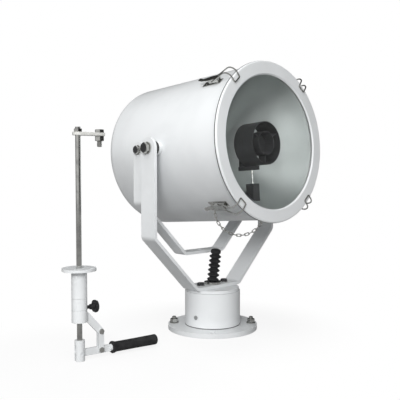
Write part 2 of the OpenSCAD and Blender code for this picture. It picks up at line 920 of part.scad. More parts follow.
// Over-centre lever: a folded channel that tapers to a finger tab
module latch_lever(i) color(steel)
    at_latch(i) {
        half = latch_w / 2;
        tail = half * 0.55;
        tab = 10;
        top = pin_radius + lever_top;
        translate([top, 0, pin_f])
            rotate([90, 0, 90])
                linear_extrude(latch_sheet)
                    polygon([[-half, cheek_nose], [half, cheek_nose], [half, -cheek_len],
                        [tail, tab - latch_len], [-tail, tab - latch_len], [-half, -cheek_len]]);
        translate([top, 0, pin_f + tab - latch_len])
            rotate([0, -25, 0])
                translate([0, -tail, -tab])
                    cube([latch_sheet, 2 * tail, tab + 0.4]);
        for (side = [0, 1])
            mirror([0, side, 0])
                difference() {
                    translate([pin_radius - cheek_drop, half - latch_sheet, pin_f - cheek_len])
                        cube([cheek_drop + lever_top + latch_sheet / 2, latch_sheet, cheek_len + cheek_nose]);
                    translate([pin_radius, half, pin_f])
                        across(pin_r + run_clear, 4 * latch_sheet);
                    translate([wire_radius, half, wire_f])
                        across(wire_r + run_clear, 4 * latch_sheet);
                }
    }

// Spring wire loop from the lever over the ring's face
module latch_wire(i) color(dark_steel)
    at_latch(i) {
        stub = latch_w / 2 - latch_sheet - 0.5;
        arm = (hook_f - wire_bow_r * (1 + sin(wire_rise)) - wire_f) / cos(wire_rise) - wire_corner_r;
        bow_radius = wire_radius + (arm + wire_corner_r) * sin(wire_rise) - wire_bow_r * cos(wire_rise);
        end = wire_y - stub - wire_corner_r;
        drop = bow_radius - hook_radius - hook_corner_r;
        bow = 90 + wire_rise;
        steps = [[end, wire_corner_r, 90, wire_rise - 90], [arm, wire_bow_r, bow, -90],
            [drop, hook_corner_r, 90, 90], [2 * (wire_y - hook_corner_r), hook_corner_r, 90, 0],
            [drop, wire_bow_r, bow, -90], [arm, wire_corner_r, 90, 90], [end]];
        translate([wire_radius, stub, wire_f])
            rotate([-90, 0, 0])
                bent_wire(wire_r, steps);
    }

// Link of the safety chain, lying along Z
module chain_link(inner_len) {
    bend = chain_inner_w / 2 + chain_wire_r;
    straight = inner_len - chain_inner_w;
    for (side = [-1, 1])
        translate([side * bend, 0, -straight / 2])
            cylinder(r = chain_wire_r, h = straight);
    for (end = [0, 1])
        mirror([0, 0, end])
            translate([0, 0, straight / 2])
                rotate([90, 0, 0])
                    rotate_extrude(angle = 180)
                        translate([bend, 0])
                            circle(r = chain_wire_r - bend_neck);
}

// Staple that the end of the chain hangs on, its feet at zero and its bar along X
module staple() {
    leg = staple_rise - staple_corner_r;
    bar = staple_w - 2 * staple_corner_r;
    translate([-staple_w / 2, 0, 0])
        bent_wire(chain_wire_r, [[leg, staple_corner_r, 90, 0], [bar, staple_corner_r, 90, 0], [leg]]);
}

// Chain that keeps the front ring on the drum when its latches are open
module safety_chain() color(steel) {
    r0 = drum_r + seat_gap;
    r1 = ring_r + seat_gap;
    p0 = (r0 + staple_rise) * [cos(chain_start[0]), sin(chain_start[0]), 0] + [0, 0, chain_start[1]];
    p1 = (r1 + staple_rise) * [cos(chain_end[0]), sin(chain_end[0]), 0] + [0, 0, chain_end[1]];
    span = norm(p1 - p0);
    u = (p1 - p0) / span;
    down = [0, -1, 0] + u[1] * u;
    w = down / norm(down);
    n = cross(u, w);
    sag_r = span / 2 / sin(chain_sweep / 2);
    centre = (p0 + p1) / 2 - w * sag_r * cos(chain_sweep / 2);
    arc_len = sag_r * chain_sweep * PI / 180;
    pitch = (arc_len + 2 * chain_wire_r - chain_slack) / chain_links;
    inner_len = pitch + chain_slack;
    first = inner_len / 2 - chain_wire_r;
    along_drum() {
        for (i = [0:chain_links - 1]) {
            a = chain_sweep * ((first + i * pitch) / arc_len - 0.5);
            p = centre + sag_r * (sin(a) * u + cos(a) * w);
            heading = cos(a) * u - sin(a) * w;
            side = cross(heading, n);
            multmatrix([[n[0], side[0], heading[0], p[0]], [n[1], side[1], heading[1], p[1]],
                [n[2], side[2], heading[2], p[2]], [0, 0, 0, 1]])
                rotate([0, 0, 90 * (i % 2)])
                    chain_link(inner_len);
        }
        rotate([0, 0, chain_start[0]])
            translate([r0, 0, chain_start[1]])
                rotate([0, 90, 0])
                    staple();
        rotate([0, 0, chain_end[0]])
            translate([r1, 0, chain_end[1]])
                rotate([0, 90, 0])
                    rotate([0, 0, 90])
                        staple();
    }
}

// Bail that tilts the drum, hanging from its rear pivots
module bail() color(paint)
    translate([0, bail_pivot_y, 0])
        difference() {
            bent_bar(bail_half_base, bail_z, bail_half_span, bail_pivot_z, bail_w, bail_t, yoke_bend_r,
                m12[0] + run_clear);
            translate([0, 0, bail_z - cut])
                cylinder(r = bail_hole_r, h = bail_t + 2 * cut);
        }

// Flange that holds the control under a deckhead
module ceiling_flange() color(paint)
    at_control()
        translate([0, 0, ceiling_z - ceiling_t])
            difference() {
                tube(ceiling_r, sleeve_bore_r, ceiling_t);
                for (i = [0:3])
                    rotate([0, 0, 45 + 90 * i])
                        translate([ceiling_pcd / 2, 0, -cut])
                            cylinder(r = 3.5, h = ceiling_t + 2 * cut);
            }

// Fixed sleeve that the swivel collar turns in
module guide_sleeve() color(paint)
    at_control()
        translate([0, 0, seam_z])
            difference() {
                tube(sleeve_r, sleeve_bore_r, ceiling_z - ceiling_t - seam_z);
                translate([0, 0, -cut])
                    cylinder(r = spigot_r + run_clear, h = spigot_len + 1 + cut);
            }

// Collar that turns with the rod, with a spigot in the sleeve
module swivel_collar() color(paint)
    at_control()
        difference() {
            union() {
                translate([0, 0, collar_z])
                    cylinder(r = sleeve_r, h = collar_top - collar_z);
                translate([0, 0, collar_top - cut])
                    cylinder(r = spigot_r, h = spigot_len + cut);
            }
            translate([0, 0, collar_z - cut])
                cylinder(r = rod_r + run_clear, h = seam_z + spigot_len - collar_z + 2 * cut);
            translate([0, 0, (collar_z + seam_z) / 2])
                tube(sleeve_r + cut, sleeve_r - 0.8, 1.2);
            translate([0, 0, knob_z])
                rotate([0, 90, 0])
                    cylinder(r = knob_stem_r + run_clear, h = sleeve_r + cut);
        }

// Arm welded to the collar, down to the link
module support_arm() color(paint) {
    pivot = [pivot_x, link_z];
    at_control()
        difference() {
            union() {
                rotate([90, 0, 0])
                    linear_extrude(arm_t, center = true)
                        polygon([[sleeve_r - arm_in, collar_z + arm_low],
                            [sleeve_r - arm_in, collar_z + arm_high], [sleeve_r + arm_step, collar_z + arm_high],
                            pivot + arm_half, pivot - arm_half]);
                translate([pivot_x, 0, link_z])
                    across(link_w / 2 + 1, arm_t);
            }
            translate([0, 0, collar_z - 5 * cut])
                cylinder(r = sleeve_r + seat_gap, h = seam_z - collar_z);
            translate([pivot_x, 0, link_z])
                across(link_pin_r + run_clear, 2 * arm_t);
        }
}

// Clamp knob with finger hollows round its rim
module clamp_knob() color(black)
    at_control()
        translate([0, 0, knob_z])
            rotate([0, 90, 0]) {
                translate([0, 0, rod_r + face_gap])
                    cylinder(r = knob_stem_r, h = knob_x - rod_r);
                translate([0, 0, knob_x])
                    cylinder(r1 = knob_hub_r - 1.5, r2 = knob_hub_r, h = knob_hub_t + seat_gap);
                translate([0, 0, knob_x + knob_hub_t])
                    difference() {
                        rotate_extrude()
                            polygon(concat([[0, 0]], arc([knob_r - 2, 2], 2, -90, 0, 4),
                                arc([knob_r - 4, knob_t - 4], 4, 0, 90, 6), [[0, knob_t]]));
                        for (i = [0:knob_lobes - 1])
                            rotate([0, 0, 360 * i / knob_lobes])
                                translate([knob_r + knob_hollow_r - knob_hollow_depth, 0, -cut])
                                    cylinder(r = knob_hollow_r, h = knob_t + 2 * cut);
                    }
            }

// Pair of plates between the support arm and the lever
module link_plates() color(paint)
    at_control()
        for (side = [-1, 1])
            translate([0, side * (arm_t / 2 + link_gap + link_t / 2), 0])
                difference() {
                    union() {
                        translate([pivot_x - link_w / 2, -link_t / 2, lever_z])
                            cube([link_w, link_t, link_z - lever_z]);
                        for (z = [lever_z, link_z])
                            translate([pivot_x, 0, z])
                                across(link_w / 2, link_t);
                    }
                    for (z = [lever_z, link_z])
                        translate([pivot_x, 0, z])
                            across(link_pin_r + seat_gap, 2 * link_t);
                }

// Headed pins of the link
module link_pins() color(steel)
    at_control()
        for (z = [lever_z, link_z])
            translate([pivot_x, 0, z]) {
                across(link_pin_r, arm_t + 2 * link_t + 2 * link_gap + 1);
                for (side = [-1, 1])
                    translate([0, side * (arm_t / 2 + link_t + link_gap + 1.25), 0])
                        across(link_pin_r + 2, 2.5);
            }

// Lever with a slotted tail for the clevis pin and a round end for the grip
module control_lever() color(paint)
    at_control()
        translate([0, 0, lever_z])
            difference() {
                union() {
                    translate([0, -arm_t / 2, -lever_h / 2])
                        cube([grip_x - lever_neck / 2, arm_t, lever_h]);
                    across(lever_tail, arm_t);
                    translate([grip_x - lever_neck, 0, 0])
                        rotate([0, 90, 0])
                            cylinder(r = lever_rod_r, h = grip_len + lever_neck - grip_plug);
                }
                for (side = [-1, 1])
                    translate([side * lever_slot, 0, 0])
                        across(clevis_pin_r + lever_slot_clear, 2 * arm_t);
                translate([-lever_slot, -arm_t, -clevis_pin_r - lever_slot_clear])
                    cube([2 * lever_slot, 2 * arm_t, 2 * (clevis_pin_r + lever_slot_clear)]);
                translate([pivot_x, 0, 0])
                    across(link_pin_r + run_clear, 2 * arm_t);
            }

// Rubber grip with a collar at its inner end and a waist behind it
module lever_grip() color(black) {
    bore = lever_rod_r + seat_gap;
    floor_x = grip_len - grip_plug + seat_gap;
    at_control()
        translate([grip_x, 0, lever_z])
            rotate([0, 90, 0])
                rotate_extrude()
                    polygon(concat([[bore, 0], [grip_r + grip_collar - 1, 0]],
                        [[grip_r + grip_collar, 1], [grip_r + grip_collar, grip_collar_t]],
                        [[grip_r - grip_waist, 3 * grip_collar_t], [grip_r - grip_waist, grip_len / 2]],
                        [[grip_r, grip_len - 2 * grip_end_r]],
                        arc([grip_r - grip_end_r, grip_len - grip_end_r], grip_end_r, 0, 90, 5),
                        [[0, grip_len], [0, floor_x], [bore, floor_x]]));
}

// Rod from the clevis up to the drive arm
module control_rod() color(steel)
    at_control()
        translate([0, 0, clevis_slot_h + 1])
            cylinder(r = rod_r, h = drive_z + drive_arm_t + m12[2] + 3 - clevis_slot_h);

// Slotted block on the rod's lower end
module rod_clevis() color(paint)
    at_control()
        difference() {
            cylinder(r = clevis_r, h = clevis_h);
            translate([-clevis_r - cut, -arm_t / 2 - 2 * face_gap, -cut])
                cube([2 * clevis_r + 2 * cut, arm_t + 4 * face_gap, clevis_slot_h + cut]);
            cylinder(r = rod_r + seat_gap, h = clevis_h + cut);
            translate([0, 0, lever_z])
                across(clevis_pin_r + seat_gap, 2 * clevis_r + 2 * cut);
        }

// Pin of the clevis, flush with its sides
module clevis_pin() color(paint)
    at_control()
        translate([0, 0, lever_z])
            across(clevis_pin_r, 2 * clevis_r - clevis_pin_r);

// Arm on the rod's upper end that carries the drive bolt
module drive_arm() color(steel)
    at_control()
        translate([0, 0, drive_z])
            difference() {
                union() {
                    translate([0, -drive_arm_w / 2, 0])
                        cube([drive_offset, drive_arm_w, drive_arm_t]);
                    for (x = [0, drive_offset])
                        translate([x, 0, 0])
                            cylinder(r = drive_arm_w / 2, h = drive_arm_t);
                }
                for (x = [0, drive_offset])
                    translate([x, 0, -cut])
                        cylinder(r = m12[0] + seat_gap, h = drive_arm_t + 2 * cut);
            }

module drive_bolt() color(steel)
    at_control()
        translate([drive_offset, 0, drive_z + drive_arm_t])
            bolt(m12, drive_arm_t + drive_bolt_low);

// Nut on the rod and lock nut on the drive bolt
module drive_nuts() color(steel)
    at_control() {
        translate([0, 0, drive_z + drive_arm_t])
            nut(m12, m12[2]);
        translate([drive_offset, 0, drive_z - drive_nut_h])
            nut(m12, drive_nut_h);
    }

base_flange();
pedestal_tube();
bearing_plate();
pan_bush();
tube_screw();
deck_washers();
deck_nuts();
ceiling_flange();
guide_sleeve();
turntable();
pan_spindle();
spindle_nut();
yoke();
yoke_bolts();
boot();
boot_clamp();
drum_shell();
trunnion_spacers();
trunnion_bolts();
side_washers();
bail_spacers();
bail_bolts();
inner_nuts();
cable_gland();
reflector();
lamp_stand();
focus_rod();
lamp_carriage();
lamp_socket();
lamp_bulb();
glare_shield();
ring_gasket();
front_glass();
front_ring();
latch_bases();
latch_pins();
safety_chain();
latch_lever(1);  // latch_lever_1
latch_lever(2);  // latch_lever_2
latch_lever(3);  // latch_lever_3
latch_lever(4);  // latch_lever_4
latch_wire(1);  // latch_wire_1
latch_wire(2);  // latch_wire_2
latch_wire(3);  // latch_wire_3
latch_wire(4);  // latch_wire_4
bail();
swivel_collar();
support_arm();
clamp_knob();
link_plates();
link_pins();
control_lever();
lever_grip();
control_rod();
rod_clevis();
clevis_pin();
drive_arm();
drive_bolt();
drive_nuts();
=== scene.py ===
import json
import math

import bmesh
import bpy
from mathutils import Matrix, Vector


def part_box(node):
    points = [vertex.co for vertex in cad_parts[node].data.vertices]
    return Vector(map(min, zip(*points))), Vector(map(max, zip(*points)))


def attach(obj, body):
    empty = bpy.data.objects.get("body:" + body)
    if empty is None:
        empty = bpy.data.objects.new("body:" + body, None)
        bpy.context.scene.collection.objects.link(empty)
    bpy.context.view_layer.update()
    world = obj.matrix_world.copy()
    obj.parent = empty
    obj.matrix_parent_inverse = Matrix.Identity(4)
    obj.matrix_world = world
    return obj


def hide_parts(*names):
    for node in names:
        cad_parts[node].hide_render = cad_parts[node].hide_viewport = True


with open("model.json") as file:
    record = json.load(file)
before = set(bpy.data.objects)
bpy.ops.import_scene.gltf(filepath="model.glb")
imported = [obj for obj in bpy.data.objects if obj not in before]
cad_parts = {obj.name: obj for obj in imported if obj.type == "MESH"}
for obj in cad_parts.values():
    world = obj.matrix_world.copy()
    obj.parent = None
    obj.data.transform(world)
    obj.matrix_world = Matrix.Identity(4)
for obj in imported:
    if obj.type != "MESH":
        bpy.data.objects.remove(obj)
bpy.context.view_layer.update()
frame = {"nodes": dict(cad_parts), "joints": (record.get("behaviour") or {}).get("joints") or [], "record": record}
nodes = frame["nodes"]
joints = {j["name"]: j for j in frame["joints"]}
slotOf = {s["node"]: s["material_slot"] for s in frame["record"]["subparts"]}
print("frame:", len(nodes), "nodes")


# shader node helpers
def addNode(tree, kind, **settings):
    node = tree.nodes.new(kind)
    for key, value in settings.items():
        setattr(node, key, value)
    return node


def feed(tree, socket, value):
    # a number or tuple sets the socket, an output is linked to it
    if isinstance(value, (int, float, tuple)):
        socket.default_value = value
    else:
        tree.links.new(value, socket)


def mathNode(tree, operation, *values, clamp=False):
    node = addNode(tree, "ShaderNodeMath", operation=operation, use_clamp=clamp)
    for socket, value in zip(node.inputs, values):
        feed(tree, socket, value)
    return node.outputs[0]


def vectorNode(tree, operation, a, b):
    node = addNode(tree, "ShaderNodeVectorMath", operation=operation)
    feed(tree, node.inputs[0], a)
    feed(tree, node.inputs[1], b)
    return node.outputs["Value"]


def rangeNode(tree, value, start=(0.0, 1.0), end=(0.0, 1.0), smooth=False):
    kind = "SMOOTHSTEP" if smooth else "LINEAR"
    node = addNode(tree, "ShaderNodeMapRange", interpolation_type=kind)
    feed(tree, node.inputs["Value"], value)
    for label, bound in zip(("From Min", "From Max", "To Min", "To Max"), (*start, *end)):
        feed(tree, node.inputs[label], bound)
    return node.outputs[0]


def mixColour(tree, fac, a, b):
    node = addNode(tree, "ShaderNodeMix", data_type="RGBA")
    tree.links.new(fac, node.inputs[0])
    for socket, value in zip(node.inputs[6:8], (a, b)):  # the two colour inputs
        feed(tree, socket, (*value, 1) if isinstance(value, tuple) else value)
    return node.outputs[2]


def mixShaders(tree, fac, a, b, output):
    node = addNode(tree, "ShaderNodeMixShader")
    for socket, value in zip(node.inputs, (fac, a.outputs[0], b.outputs[0])):
        tree.links.new(value, socket)
    tree.links.new(node.outputs[0], tree.nodes[output].inputs["Surface"])


# shared shader groups
def newGroup(name, inputs, outputs):
    group = bpy.data.node_groups.new(name, "ShaderNodeTree")
    for label, value in inputs.items():
        socket = group.interface.new_socket(label, in_out="INPUT", socket_type="NodeSocketFloat")
        socket.default_value = value
    for label, kind in outputs.items():
        group.interface.new_socket(label, in_out="OUTPUT", socket_type=kind)
    return group, group.nodes.new("NodeGroupInput"), group.nodes.new("NodeGroupOutput")


def placeGroup(tree, group, values):
    node = addNode(tree, "ShaderNodeGroup", node_tree=group)
    for label, value in values.items():
        node.inputs[label].default_value = value
    return node


edgeWear = dict(radius=0.0009, spread=0.35, samples=6,
                breakScale=180.0, breakDetail=4, breakGain=3.2, breakShift=-1.1)


def makeEdgeGroup(look):
    group, enter, leave = newGroup(
        "edgeRub",
        {"Radius": look["radius"], "Spread": look["spread"], "Break Scale": look["breakScale"]},
        {"Mask": "NodeSocketFloat", "Normal": "NodeSocketVector"})
    link = group.links.new
    bevel = addNode(group, "ShaderNodeBevel", samples=look["samples"])
    link(enter.outputs["Radius"], bevel.inputs["Radius"])
    geometry = addNode(group, "ShaderNodeNewGeometry")
    turn = vectorNode(group, "DOT_PRODUCT", bevel.outputs[0], geometry.outputs["Normal"])
    bent = mathNode(group, "SUBTRACT", 1.0, turn)
    edge = mathNode(group, "DIVIDE", bent, enter.outputs["Spread"], clamp=True)
    place = addNode(group, "ShaderNodeTexCoord")
    breakUp = addNode(group, "ShaderNodeTexNoise")
    breakUp.inputs["Detail"].default_value = look["breakDetail"]
    link(place.outputs["Object"], breakUp.inputs["Vector"])
    link(enter.outputs["Break Scale"], breakUp.inputs["Scale"])
    patch = mathNode(group, "MULTIPLY_ADD", breakUp.outputs[0], look["breakGain"],
                     look["breakShift"], clamp=True)
    link(mathNode(group, "MULTIPLY", edge, patch), leave.inputs["Mask"])
    link(bevel.outputs[0], leave.inputs["Normal"])
    return group


def makeMottleGroup():
    group, enter, leave = newGroup(
        "surfaceMottle", {"Scale": 12.0, "Detail": 5.0, "Low": 0.35, "High": 0.7},
        {"Mask": "NodeSocketFloat"})
    link = group.links.new
    place = addNode(group, "ShaderNodeTexCoord")
    noise = addNode(group, "ShaderNodeTexNoise")
    link(place.outputs["Object"], noise.inputs["Vector"])
    link(enter.outputs["Scale"], noise.inputs["Scale"])
    link(enter.outputs["Detail"], noise.inputs["Detail"])
    span = (enter.outputs["Low"], enter.outputs["High"])
    link(rangeNode(group, noise.outputs[0], span, smooth=True), leave.inputs["Mask"])
    return group


edgeGroup = makeEdgeGroup(edgeWear)
mottleGroup = makeMottleGroup()

# colour and its cloudier shade, edge colour, roughness span, bump, then plain shader values
finishes = {
    "white_paint": dict(
        colour=(0.79, 0.808, 0.818), shade=(0.73, 0.748, 0.758), edge=(0.62, 0.63, 0.64),
        edgeAmount=0.35, rough=(0.30, 0.42), grainScale=900, grain=0.05, cloudScale=9, coat=0.25),
    "bright_steel": dict(
        colour=(0.62, 0.62, 0.595), shade=(0.46, 0.46, 0.445), edge=(0.8, 0.8, 0.8),
        edgeAmount=0.6, rough=(0.08, 0.18), grainScale=1400, grain=0.03, cloudScale=60, metallic=1.0),
    "satin_steel": dict(
        colour=(0.78, 0.78, 0.75), shade=(0.66, 0.66, 0.63), edge=(0.85, 0.85, 0.84),
        edgeAmount=0.4, rough=(0.35, 0.5), grainScale=1400, grain=0.05, cloudScale=60, metallic=0.25),
    "zinc_steel": dict(
        colour=(0.40, 0.41, 0.41), shade=(0.31, 0.32, 0.32), edge=(0.6, 0.6, 0.6),
        edgeAmount=0.4, rough=(0.38, 0.52), grainScale=1400, grain=0.05, cloudScale=60, metallic=0.3),
    "dark_steel": dict(
        colour=(0.10, 0.10, 0.105), shade=(0.05, 0.05, 0.055), edge=(0.42, 0.42, 0.43),
        edgeAmount=0.6, rough=(0.22, 0.4), grainScale=1200, grain=0.08, cloudScale=90, metallic=0.8),
    "black_paint": dict(
        colour=(0.022, 0.022, 0.023), shade=(0.034, 0.034, 0.036), edge=(0.1, 0.1, 0.1),
        edgeAmount=0.3, rough=(0.5, 0.68), grainScale=1000, grain=0.1, cloudScale=40),
    "bronze": dict(
        colour=(0.52, 0.36, 0.17), shade=(0.38, 0.25, 0.12), edge=(0.7, 0.52, 0.3),
        edgeAmount=0.5, rough=(0.25, 0.42), grainScale=1200, grain=0.06, cloudScale=60, metallic=1.0),
    "black_rubber": dict(
        colour=(0.018, 0.018, 0.019), shade=(0.032, 0.032, 0.033), edge=(0.07, 0.07, 0.07),
        edgeAmount=0.5, rough=(0.48, 0.66), grainScale=1600, grain=0.16, cloudScale=70, specular=0.32),
    "grey_rubber": dict(
        colour=(0.42, 0.43, 0.43), shade=(0.36, 0.37, 0.37), edge=(0.5, 0.5, 0.5),
        edgeAmount=0.3, rough=(0.5, 0.62), grainScale=1600, grain=0.08, cloudScale=70),
    "black_plastic": dict(
        colour=(0.02, 0.02, 0.021), shade=(0.03, 0.03, 0.031), edge=(0.08, 0.08, 0.08),
        edgeAmount=0.4, rough=(0.34, 0.48), grainScale=1500, grain=0.1, cloudScale=80, specular=0.3),
    "mirror_silver": dict(
        colour=(0.455, 0.475, 0.47), shade=(0.42, 0.44, 0.435), edge=(0.8, 0.8, 0.8),
        edgeAmount=0.2, rough=(0.33, 0.38), grainScale=300, grain=0.01, cloudScale=14, metallic=1.0),
}
grainLook = {"Detail": 2.0, "Low": 0.25, "High": 0.75}
grainDepth = 0.0004
coatRough = 0.12


def newMaterial(name):
    material = bpy.data.materials.new(name)
    material.use_nodes = True
    return material, material.node_tree, material.node_tree.nodes["Principled BSDF"]


def makeFinish(name, look):
    material, tree, shader = newMaterial(name)
    cloud = placeGroup(tree, mottleGroup, {"Scale": look["cloudScale"]})
    grain = placeGroup(tree, mottleGroup, {"Scale": look["grainScale"], **grainLook})
    rub = placeGroup(tree, edgeGroup, {})
    worn = mathNode(tree, "MULTIPLY", rub.outputs["Mask"], look["edgeAmount"])
    base = mixColour(tree, cloud.outputs["Mask"], look["colour"], look["shade"])
    bump = addNode(tree, "ShaderNodeBump")
    bump.inputs["Strength"].default_value = look["grain"]
    bump.inputs["Distance"].default_value = grainDepth
    tree.links.new(grain.outputs["Mask"], bump.inputs["Height"])
    tree.links.new(rub.outputs["Normal"], bump.inputs["Normal"])
    for label, value in {
        "Base Color": mixColour(tree, worn, base, look["edge"]),
        "Roughness": rangeNode(tree, cloud.outputs["Mask"], end=look["rough"]),
        "Normal": bump.outputs[0],
        "Metallic": look.get("metallic", 0.0),
        "Coat Weight": look.get("coat", 0.0),
        "Coat Roughness": coatRough,
        "Specular IOR Level": look.get("specular", 0.5),
    }.items():
        feed(tree, shader.inputs[label], value)
    return material


glasses = {
    "clear_glass": dict(colour=(0.955, 0.975, 0.97), rough=(0.0, 0.015)),
    "bulb_glass": dict(colour=(0.96, 0.96, 0.94), rough=(0.25, 0.4)),
}
hazeLook = {"Scale": 22.0, "Low": 0.4, "High": 0.8}
glassBend = 1.46  # refractive index


def makeGlass(name, look):
    material, tree, shader = newMaterial(name)
    haze = placeGroup(tree, mottleGroup, hazeLook)
    film = rangeNode(tree, haze.outputs["Mask"], end=look["rough"])
    tree.links.new(film, shader.inputs["Roughness"])
    shader.inputs["Base Color"].default_value = (*look["colour"], 1)
    shader.inputs["Transmission Weight"].default_value = 1.0
    shader.inputs["IOR"].default_value = glassBend
    # lets the lamps light what is behind the glass
    path = addNode(tree, "ShaderNodeLightPath")
    clear = addNode(tree, "ShaderNodeBsdfTransparent")
    mixShaders(tree, path.outputs["Is Shadow Ray"], shader, clear, "Material Output")
    return material


materials = {name: makeFinish(name, look) for name, look in finishes.items()}
materials.update({name: makeGlass(name, look) for name, look in glasses.items()})
# nodes that wear another finish than their slot's
ownFinish = {"drive_arm": "satin_steel", "trunnion_spacers": "white_paint", "bail_spacers": "white_paint"}
for name, node in nodes.items():
    node.data.materials.clear()
    node.data.materials.append(materials[ownFinish.get(name, slotOf[name])])
print("finishes:", len(materials))


# mesh helpers; a ring is a list of points round the Z axis
def addRings(bm, place, rings, closeStart=True, closeEnd=True):
    made = [[bm.verts.new(place @ Vector(p)) for p in ring] for ring in rings]
    for a, b in zip(made, made[1:]):
        for i in range(len(a)):
            j = (i + 1) % len(a)
            bm.faces.new((a[i], a[j], b[j], b[i]))
    if closeStart:
        bm.faces.new(list(reversed(made[0])))
    if closeEnd:
        bm.faces.new(made[-1])


def turnsAround(count):
    return [2 * math.pi * i / count for i in range(count)]


def circleRing(radius, z, count=48):
    return [(radius * math.cos(t), radius * math.sin(t), z) for t in turnsAround(count)]


def hexRing(flats, z, slope=0.0, flatRadius=0.0, count=48):
    # points round a hexagon; slope drops the corners as a turned chamfer does
    ring = []
    for t in turnsAround(count):
        off = (t + math.pi / 6) % (math.pi / 3) - math.pi / 6
        r = flats / 2 / math.cos(off)
        ring.append((r * math.cos(t), r * math.sin(t), z - slope * max(0.0, r - flatRadius)))
    return ring


def addTurned(bm, place, profile, count=48, closed=False):
    rings = [circleRing(r, z, count) for r, z in profile]
    if closed:
        rings.append(rings[0])
    addRings(bm, place, rings, not closed, not closed)


def addTube(bm, place, inner, outer, length):
    addTurned(bm, place, [(inner, 0), (outer, 0), (outer, length), (inner, length)], closed=True)


# shares of a hexagon's width, of a nut's bore and height, and of a thread's pitch and radius
hexShape = dict(face=0.475, chamfer=0.55, dishRim=0.8, dishFloor=0.74, dishDepth=0.0003,
                sinkWidth=1.1, sinkDepth=0.12)
threadShape = dict(depth=0.55, core=0.6, tip=1.3, around=28, perTurn=8)
shankShare = 0.99  # plain shanks stay a little clear of their holes


def addHexHead(bm, place, flats, height):
    face = hexShape["face"] * flats
    addRings(bm, place, [
        hexRing(flats, 0), hexRing(flats, height, hexShape["chamfer"], face),
        circleRing(face, height), circleRing(face * hexShape["dishRim"], height),
        circleRing(face * hexShape["dishFloor"], height - hexShape["dishDepth"])])


def addHexNut(bm, place, flats, height, bore):
    face = hexShape["face"] * flats
    mouth, sink = bore * hexShape["sinkWidth"], height * hexShape["sinkDepth"]
    addRings(bm, place, [
        circleRing(bore, sink), circleRing(mouth, 0), circleRing(face, 0),
        hexRing(flats, 0, -hexShape["chamfer"], face),
        hexRing(flats, height, hexShape["chamfer"], face),
        circleRing(face, height), circleRing(mouth, height), circleRing(bore, height - sink),
        circleRing(bore, sink)], False, False)


def addShank(bm, place, radius, length):
    addTurned(bm, place, [(shankShare * radius, 0), (shankShare * radius, -length)])


def addThread(bm, place, radius, length, pitch):
    # a screw thread as one skin, from zero down to its chamfered tip
    around, depth = threadShape["around"], threadShape["depth"] * pitch
    steps = int(length / pitch * threadShape["perTurn"])
    rings = [circleRing(radius * threadShape["core"], -length, around)]
    for k in range(steps + 1):
        z = -length + length * k / steps
        tip = max(0.0, depth * threadShape["tip"] - (z + length))
        ring = []
        for i, t in enumerate(turnsAround(around)):
            saw = (z / pitch - i / around) % 1.0
            r = radius - depth * abs(2 * saw - 1) - tip
            ring.append((r * math.cos(t), r * math.sin(t), z))
        rings.append(ring)
    addRings(bm, place, rings)


def finishPiece(name, bm, body, slotName, replaced=(), smooth=35, finish=None):
    bmesh.ops.remove_doubles(bm, verts=bm.verts, dist=1e-6)
    bmesh.ops.recalc_face_normals(bm, faces=bm.faces)
    mesh = bpy.data.meshes.new(name)
    bm.to_mesh(mesh)
    bm.free()
    mesh.polygons.foreach_set("use_smooth", [True] * len(mesh.polygons))
    mesh.set_sharp_from_angle(angle=math.radians(smooth))
    piece = bpy.data.objects.new(name, mesh)
    bpy.context.collection.objects.link(piece)
    mesh.materials.append(materials[finish or slotName])
    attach(piece, body)
    if replaced:
        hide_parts(*replaced)


def middle(node):
    low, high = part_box(node)
    return (low + high) / 2


def spanAlong(node, origin, direction):
    # least and greatest distance of a node's points along a direction
    piece = nodes[node]
    reach = [(piece.matrix_world @ v.co - origin).dot(direction) for v in piece.data.vertices]
    return min(reach), max(reach)


def alongAxis(point, direction):
    facing = Vector(direction).to_track_quat("Z", "Y").to_matrix().to_4x4()
    return Matrix.Translation(point) @ facing


def upAt(x, y, z):
    return Matrix.Translation((x, y, z))


def sideSeats(node, setBack, joint):
    # on both sides of the drum, facing outwards, set back from the node's outer end
    reach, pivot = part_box(node)[1].x - setBack, Vector(joints[joint]["pos_m"])
    return [alongAxis((side * reach, pivot.y, pivot.z), (side, 0, 0)) for side in (-1, 1)]


# bolts at the trunnions and the bail, with black discs on their end faces
boltLooks = {
    "trunnion_bolts": dict(flats=0.024, head=0.010, radius=0.008, shank=0.05, joint="tilt"),
    "bail_bolts": dict(flats=0.019, head=0.0075, radius=0.006, shank=0.05, joint="bail_swing"),
}
endFace = dict(share=0.478, skin=0.0003)  # share of the width across flats
for node, look in boltLooks.items():
    bm, ends = bmesh.new(), bmesh.new()
    head, skin, face = look["head"], endFace["skin"], endFace["share"] * look["flats"]
    for seat in sideSeats(node, head, look["joint"]):
        addHexHead(bm, seat, look["flats"], head)
        addShank(bm, seat, look["radius"], look["shank"])
        addTurned(ends, seat, [(face, head - 2 * skin), (face, head), (face - skin, head + skin)])
    finishPiece(node + "Turned", bm, "lamp_head", "bright_steel", [node])
    finishPiece(node + "Ends", ends, "lamp_head", "black_paint")

# black discs between the spacers and the flat bars: painted shadow of the gap between bar and spacer
shadeDiscLooks = {
    "trunnion_spacers": dict(radius=0.0173, thick=0.0150, joint="tilt"),
    "bail_spacers": dict(radius=0.0123, thick=0.008, joint="bail_swing"),
}
discHole, discInset = 0.6, 0.0002  # share of the radius, and how far short of the bar
for node, look in shadeDiscLooks.items():
    bm = bmesh.new()
    for seat in sideSeats(node, look["thick"], look["joint"]):
        addTube(bm, seat, discHole * look["radius"], look["radius"], look["thick"] - discInset)
    # black rings on the spacers, painted shade in the gap beside the bar
    finishPiece(node + "ShadeDiscs", bm, "lamp_head", "black_paint")

